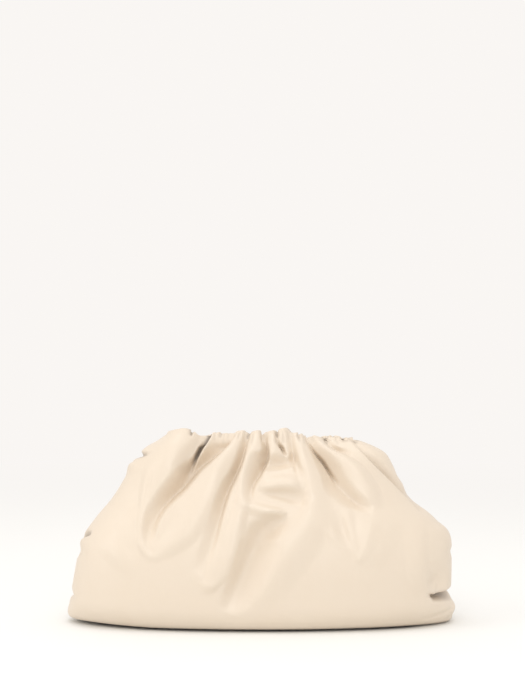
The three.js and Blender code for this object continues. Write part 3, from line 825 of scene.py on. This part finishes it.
# %% Tucks of the right end
RIGHT_TUCKS = [
    dict(name="shoulder tuck", crease=0.6, points=[
        (-10, 147, 0, 8, 7), (6, 148, -2, 9, 8), (22, 150, -5, 10, 9), (40, 152, 0, 10, 9)]),
    dict(name="bulge top", points=[
        (-40, 92, 0, 12, 9), (-12, 92, 2, 14, 10), (16, 92, 2, 14, 10), (42, 92, 0, 12, 9)]),
    dict(name="belly crease", crease=0.6, points=[
        (-30, 76, 0, 7, 6), (-8, 71, -2, 8, 7), (16, 69, -3, 8, 7), (34, 76, -3, 10, 10),
        (48, 90, 0, 12, 12)]),
    dict(name="end gather", crease=0.3, points=[
        (8, 140, 0, 7, 9), (13, 122, -6, 8, 12), (20, 104, -6, 10, 14), (30, 84, 0, 10, 14)]),
    dict(name="back gather", crease=0.3, points=[
        (24, 136, 0, 8, 12), (34, 118, -6, 10, 14), (44, 96, -5, 12, 14), (52, 72, 0, 12, 14)]),
    dict(name="end panel dent", points=[
        (-42, 66, 0, 10, 14), (-39, 54, -2.5, 10, 16), (-37, 44, -5, 9, 14), (-38, 33, 0, 8, 12)]),
    dict(name="gap above the ear", crease=0.5, overlap=-5, painted_shade=0.5, points=[
        (-49, 32, 0, 5, 6), (-39, 32, -6, 6, 7), (-28, 31, -14.5, 8, 10), (-8, 31.3, -19, 10, 11),
        (10, 36, -15, 10, 11), (26, 44, -8, 11, 11), (42, 52, 0, 12, 12)]),
    dict(name="ear", points=[
        (-40, 14, 0, 10, 6), (-16, 15, 3, 10, 8), (16, 16, 3, 10, 8), (44, 16, 0, 10, 6)]),
    dict(name="ear crease", crease=0.5, points=[
        (-46, 8, 0, 4, 4), (-28, 14, -2, 4, 4), (-8, 21, 0, 4, 4)]),
    dict(name="heel tuck", crease=0.4, points=[
        (12, 22, 0, 6, 7), (28, 26, -4, 7, 9), (44, 34, 0, 9, 10)]),
]
print(len(RIGHT_TUCKS), "tucks on the right end")

# %% [markdown]
# ## Gathers of the back
#
# The back isn't in the photograph. It gets plain gathers of the same kind, drawn as seen from behind, and its
# lip is a little lower than the front one, so that the front one alone makes the outline.

# %% Gathers of the back
BACK_FOLDS = [
    dict(name="gather 1", crease=0.7, points=[
        (-84, 187, -7, 8, 7), (-92, 160, -12, 14, 11), (-108, 128, -9, 18, 15), (-122, 98, 0, 20, 18)]),
    dict(name="gather 2", crease=0.8, overlap=5, points=[
        (-50, 187, -8, 6, 10), (-58, 158, -16, 8, 17), (-68, 120, -14, 13, 20), (-76, 84, -8, 16, 22),
        (-80, 48, 0, 20, 22)]),
    dict(name="gather 3", crease=0.7, points=[
        (-24, 187, -6, 7, 7), (-25, 165, -10, 10, 10), (-30, 128, 0, 14, 14)]),
    dict(name="gather 4", crease=0.7, overlap=-5, points=[
        (6, 187, -8, 9, 5), (11, 158, -14, 16, 6), (18, 118, -13, 20, 10), (28, 78, -9, 22, 13),
        (36, 34, 0, 24, 16)]),
    dict(name="gather 5", crease=0.7, points=[
        (34, 187, -6, 6, 7), (38, 164, -10, 8, 11), (42, 132, 0, 12, 14)]),
    dict(name="gather 6", crease=0.8, overlap=-5, points=[
        (60, 187, -8, 10, 6), (68, 158, -16, 18, 8), (80, 120, -14, 22, 12), (88, 90, -7, 22, 16),
        (94, 58, 0, 24, 20)]),
    dict(name="gather 7", crease=0.7, points=[
        (86, 185, -6, 7, 8), (98, 158, -10, 11, 14), (112, 122, 0, 14, 18)]),
    dict(name="lobe 1", points=[(-68, 189, 1.5, 12, 12), (-80, 150, 6, 18, 18), (-94, 104, 0, 24, 24)]),
    dict(name="lobe 2", points=[(-37, 189, 0.5, 10, 10), (-42, 150, 5, 14, 14), (-48, 100, 0, 18, 18)]),
    dict(name="lobe 3", points=[(-10, 189, 0.5, 9, 9), (-9, 150, 6, 12, 12), (-6, 96, 0, 16, 16)]),
    dict(name="lobe 4", points=[(20, 189, 0.5, 9, 9), (26, 150, 5, 13, 13), (36, 100, 0, 18, 18)]),
    dict(name="lobe 5", points=[(48, 189, 0.5, 10, 10), (54, 150, 5, 14, 14), (60, 104, 0, 18, 18)]),
    dict(name="lobe 6", points=[(76, 188, 0.5, 10, 10), (88, 150, 6, 16, 16), (104, 100, 0, 22, 22)]),
    dict(name="low lip", points=[
        (-95, 187, 0, 8, 8), (-70, 188, -1.5, 8, 8), (-45, 188, -3.5, 8, 8), (0, 188, -3.5, 8, 8),
        (70, 188, -3.5, 8, 8), (95, 188, 0, 8, 8)]),
]
BACK_PLEATS = dict(
    count=17, first=-84, step=10.4, shift=(2.6, 2.1), lean=0.06,
    down=(12, 5, 1.3), deep=(2.6, 1.4, 2.7), painted_shade=0.2)
print(len(BACK_FOLDS), "folds and", BACK_PLEATS["count"], "lip pleats on the back")

# %% [markdown]
# Each of these sketches counts only on its own side of the bag, and fades out towards the next one. The lifts
# of all four then add up.

# %% Work out the ends and the back
END_REACH = (0.42, 0.62)
BACK_FADE = (0.9, 1.0)


def seen_from_the_side(grid):
    return grid[..., [1, 2]]


def seen_from_behind(grid):
    return grid[..., [0, 2]] * (-1, 1)


end_mask = smoothstep(from_end, *END_REACH)
back_mask = np.where(behind, 1 - smoothstep(from_end, *BACK_FADE), 0.0)
left_moves = sketch_moves(LEFT_TUCKS, seen_from_the_side, end_mask * (share_of_half < 0))
right_moves = sketch_moves(RIGHT_TUCKS, seen_from_the_side, end_mask * (share_of_half > 0))
back_table = BACK_FOLDS + [notch_fold(row, -MOUTH_TILT) for row in lip_pleats(BACK_PLEATS)]
back_moves = sketch_moves(back_table, seen_from_behind, back_mask)
all_moves = front_moves + left_moves + right_moves + back_moves
rise, fall = lifted(all_moves[..., 2], all_moves[..., 3], rows_down)
print("folds from", fall.min().round(1), "to", rise.max().round(1), "mm")

# %% [markdown]
# ## The folded sheet
#
# Each sketch has its own directions on the real bag: aside is along x on the front and the back, and along y
# on the ends, and up is along z. The pushes of the overlapping gathers fade out near the lip, where the frame
# holds the leather.

# %% Pushes of the overlapping gathers
PUSH_ROWS = (-2, 6)

push = np.zeros_like(smooth_form)
push[..., 0] = front_moves[..., 0] - back_moves[..., 0]
push[..., 1] = left_moves[..., 0] + right_moves[..., 0]
push[..., 2] = all_moves[..., 1]
push *= smoothstep(below_lip, *PUSH_ROWS)[:, None, None]
print("gathers pushed by up to", np.abs(push).max().round(1), "mm")

# %% [markdown]
# The sheet is the smooth form with its ridges, its valleys and these pushes. Last, the soft corners of the
# base curl up off the floor, the left one more than the right one, and whatever went under the floor is laid
# flat on it.

# %% Shape the sheet
CORNER_CURL = {"left": 2.8, "right": 0.4}
CURL_HEIGHT = 45.0
CURL_REACH = (0.5, 1.0)

sheet = smooth_form + ridge_way * rise[..., None] + valley_way * fall[..., None] + push
corner_curl = np.where(sheet[..., 0] < 0, CORNER_CURL["left"], CORNER_CURL["right"])
share_out = np.abs(sheet[..., 0]) / np.abs(smooth_form[..., 0]).max()
corner_curl *= smoothstep(share_out, *CURL_REACH) * (1 - smoothstep(sheet[..., 2], 0, CURL_HEIGHT))
sheet[..., 2] = np.maximum(sheet[..., 2] + corner_curl, 0)
middle_shift = (sheet[..., 1].max() + sheet[..., 1].min()) / 2
sheet[..., 1] -= middle_shift
print("sheet", np.ptp(sheet.reshape(-1, 3), axis=0).round(1), "mm, moved by", round(-middle_shift, 2), "in y")

# %% [markdown]
# ## The leather as a mesh
#
# A flat grid is the uncut sheet: one vertex for each row and column. Its vertices go to their places on the
# bag. They carry two marks for the finish to read: how deep the fold is, and how much shade is painted there.
# The edge that rests on the floor gets painted shade too, as its contact shadow, because hardly any light
# gets in under it.

# %% Lay the sheet around the bag
BASE_SHADE = 0.85
SHADED_HEIGHTS = (0.5, 4.0)
SHADE_END = (140, 165)


def per_vertex(grid):
    """A grid's values for the uncut sheet, whose last column lies on its first one."""
    return np.concatenate([grid, grid[:, :1]], axis=1).reshape(-1)


bpy.ops.object.select_all(action="DESELECT")
bpy.ops.mesh.primitive_grid_add(x_subdivisions=COLUMNS, y_subdivisions=len(ovals) - 1, size=1)
leather = bpy.context.object
leather.name = "leather"
leather.data.vertices.foreach_set("co", per_vertex(sheet * MM))
# Painted contact shadow: the edge that rests on the floor is coloured dark.
low_shade = BASE_SHADE * (1 - smoothstep(sheet[..., 2], *SHADED_HEIGHTS))
low_shade *= 1 - smoothstep(sheet[..., 0], *SHADE_END)
marks = {"fold_depth": rise + fall, "painted_shade": np.maximum(all_moves[..., 4], low_shade)}
for name, values in marks.items():
    attribute = leather.data.attributes.new(name, "FLOAT", "POINT")
    attribute.data.foreach_set("value", per_vertex(values))
leather.data.update()
print("leather sheet", len(leather.data.vertices), "vertices")

# %% [markdown]
# The two edges of the sheet meet at the left end. They are merged, as a maker would join them, and the last
# ring of the base is filled with one face. The normals then point outwards all over.

# %% Close the sheet
MERGE_DISTANCE = 0.01 * MM
RING_MARGIN = 1 * MM

bpy.ops.object.mode_set(mode="EDIT")
bpy.ops.mesh.select_mode(type="VERT")
bpy.ops.mesh.select_all(action="SELECT")
bpy.ops.mesh.remove_doubles(threshold=MERGE_DISTANCE)
bpy.ops.mesh.select_all(action="DESELECT")
bpy.ops.object.mode_set(mode="OBJECT")
last_ring = np.abs(sheet[-1]).max(0) * MM + RING_MARGIN
for vertex in leather.data.vertices:
    vertex.select = all(abs(vertex.co[axis]) < last_ring[axis] for axis in range(3))
bpy.ops.object.mode_set(mode="EDIT")
bpy.ops.mesh.edge_face_add()
bpy.ops.mesh.select_all(action="SELECT")
bpy.ops.mesh.normals_make_consistent(inside=False)
bpy.ops.object.mode_set(mode="OBJECT")
bpy.ops.object.shade_smooth()
one_side = sum(face.area for face in leather.data.polygons)
print("one side", len(leather.data.polygons), "faces,", round(one_side, 3), "square metres")

# %% [markdown]
# Solidify gives the leather its thickness, inwards, so the outer face stays where it is. The inner face is
# hardly seen, so Decimate thins it to a quarter of its triangles.

# %% Give the leather its thickness
LEATHER_THICKNESS = 1.6 * MM
INNER_SHARE = 0.25

outer_faces = len(leather.data.polygons)
solidify = leather.modifiers.new("thickness", "SOLIDIFY")
solidify.thickness = LEATHER_THICKNESS
solidify.offset = -1
bpy.ops.object.modifier_apply(modifier=solidify.name)
bpy.ops.object.mode_set(mode="EDIT")
bpy.ops.mesh.select_mode(type="FACE")
bpy.ops.mesh.select_all(action="DESELECT")
bpy.ops.object.mode_set(mode="OBJECT")
for face in leather.data.polygons:
    face.select = outer_faces <= face.index < 2 * outer_faces
bpy.ops.object.mode_set(mode="EDIT")
bpy.ops.mesh.decimate(ratio=INNER_SHARE)
bpy.ops.object.mode_set(mode="OBJECT")
triangles = sum(len(face.vertices) - 2 for face in leather.data.polygons)
print("leather", triangles, "triangles")

# %% [markdown]
# ## Cream leather
#
# Smooth dyed leather has a very fine grain, a low even sheen and almost no pattern. A picture of leather
# could be wrapped around the bag, but it would stretch in the folds. Two layers of noise on the object's own
# coordinates make the grain and the slight unevenness of the skin, as a bump and as small changes of
# roughness and colour. The marks on the vertices add painted shade: deep folds are painted a bit darker and
# warmer, and tight pleats and the edge on the floor are painted dark brown, as the shade and the contact
# shadow that fall there.

# %% Cream leather finish
CREAM = (0.736, 0.637, 0.52, 1)
SHADE_AND_SKIN_CREAM = (0.70, 0.585, 0.46, 1)
PAINTED_SHADE_BROWN = (0.10, 0.07, 0.05, 1)
SHADED_CREASE_DEPTHS = (-16.0, -3.0)
CREASE_SHADE_TINT = 0.3
SKIN_TINT = 0.12
SKIN_SCALE = 46.0
SKIN_HEIGHT = 0.0005
GRAIN_SCALE = 1500.0
GRAIN_HEIGHT = 0.00004

cream_leather, shader, place = new_material("cream_leather")
skin_inputs = {"Vector": place, "Scale": SKIN_SCALE, "Detail": 3.0, "Roughness": 0.55}
skin = place.node("ShaderNodeTexNoise", skin_inputs)
grain = place.node("ShaderNodeTexVoronoi", {"Vector": place, "Scale": GRAIN_SCALE}, output="Distance")
depth = place.node("ShaderNodeAttribute", output="Fac", attribute_name="fold_depth")
painted_shade_factor = place.node("ShaderNodeAttribute", output="Fac", attribute_name="painted_shade")
# Painted shade: deeper folds mix towards the darker, warmer cream; the skin noise varies the tone at random.
shade_and_skin_tint = depth.ramp(*SHADED_CREASE_DEPTHS, 1.0, 0.0) * CREASE_SHADE_TINT + skin.ramp(0.35, 0.7) * SKIN_TINT
# Painted shade: tight pleats and the edge on the floor are coloured dark brown.
colour = place.mix(painted_shade_factor, place.mix(shade_and_skin_tint, CREAM, SHADE_AND_SKIN_CREAM), PAINTED_SHADE_BROWN)
height = grain * GRAIN_HEIGHT + skin * SKIN_HEIGHT
bump = place.node("ShaderNodeBump", {"Height": height, "Strength": 0.6, "Distance": 1.0}, output="Normal")
feed(shader, "Base Color", colour)
feed(shader, "Roughness", skin.ramp(0.3, 0.7, 0.40, 0.48))
feed(shader, "Normal", bump)
shader.inputs["Specular IOR Level"].default_value = 0.8
leather.data.materials.clear()
leather.data.materials.append(cream_leather)
print("leather nodes", len(cream_leather.node_tree.nodes))

# %% [markdown]
# ## Brushed steel
#
# The mouth frame is a plain bar loop that the hem hides. It keeps its CAD mesh and gets a quiet brushed
# metal, with fine lines along the bar from stretched noise.

# %% Brushed steel finish
STEEL = (0.60, 0.585, 0.56, 1)
BRUSHED_LINES = (40.0, 1500.0, 1500.0)

frame_steel, shader, place = new_material("frame_steel")
shader.inputs["Base Color"].default_value = STEEL
shader.inputs["Metallic"].default_value = 1.0
stretched = place.node("ShaderNodeMapping", {"Vector": place, "Scale": BRUSHED_LINES})
brushing = place.node("ShaderNodeTexNoise", {"Vector": stretched, "Scale": 1.0, "Detail": 2.0})
feed(shader, "Roughness", brushing.ramp(0.3, 0.7, 0.3, 0.42))
for node, finish in (("mouth_frame", frame_steel), ("leather_body", cream_leather)):
    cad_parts[node].data.materials.clear()
    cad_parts[node].data.materials.append(finish)
print("frame nodes", len(frame_steel.node_tree.nodes))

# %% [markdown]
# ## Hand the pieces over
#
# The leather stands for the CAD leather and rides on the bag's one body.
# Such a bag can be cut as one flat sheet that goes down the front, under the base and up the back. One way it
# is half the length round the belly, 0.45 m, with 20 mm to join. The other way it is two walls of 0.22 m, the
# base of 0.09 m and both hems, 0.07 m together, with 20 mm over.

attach(leather, "root")
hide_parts("leather_body")
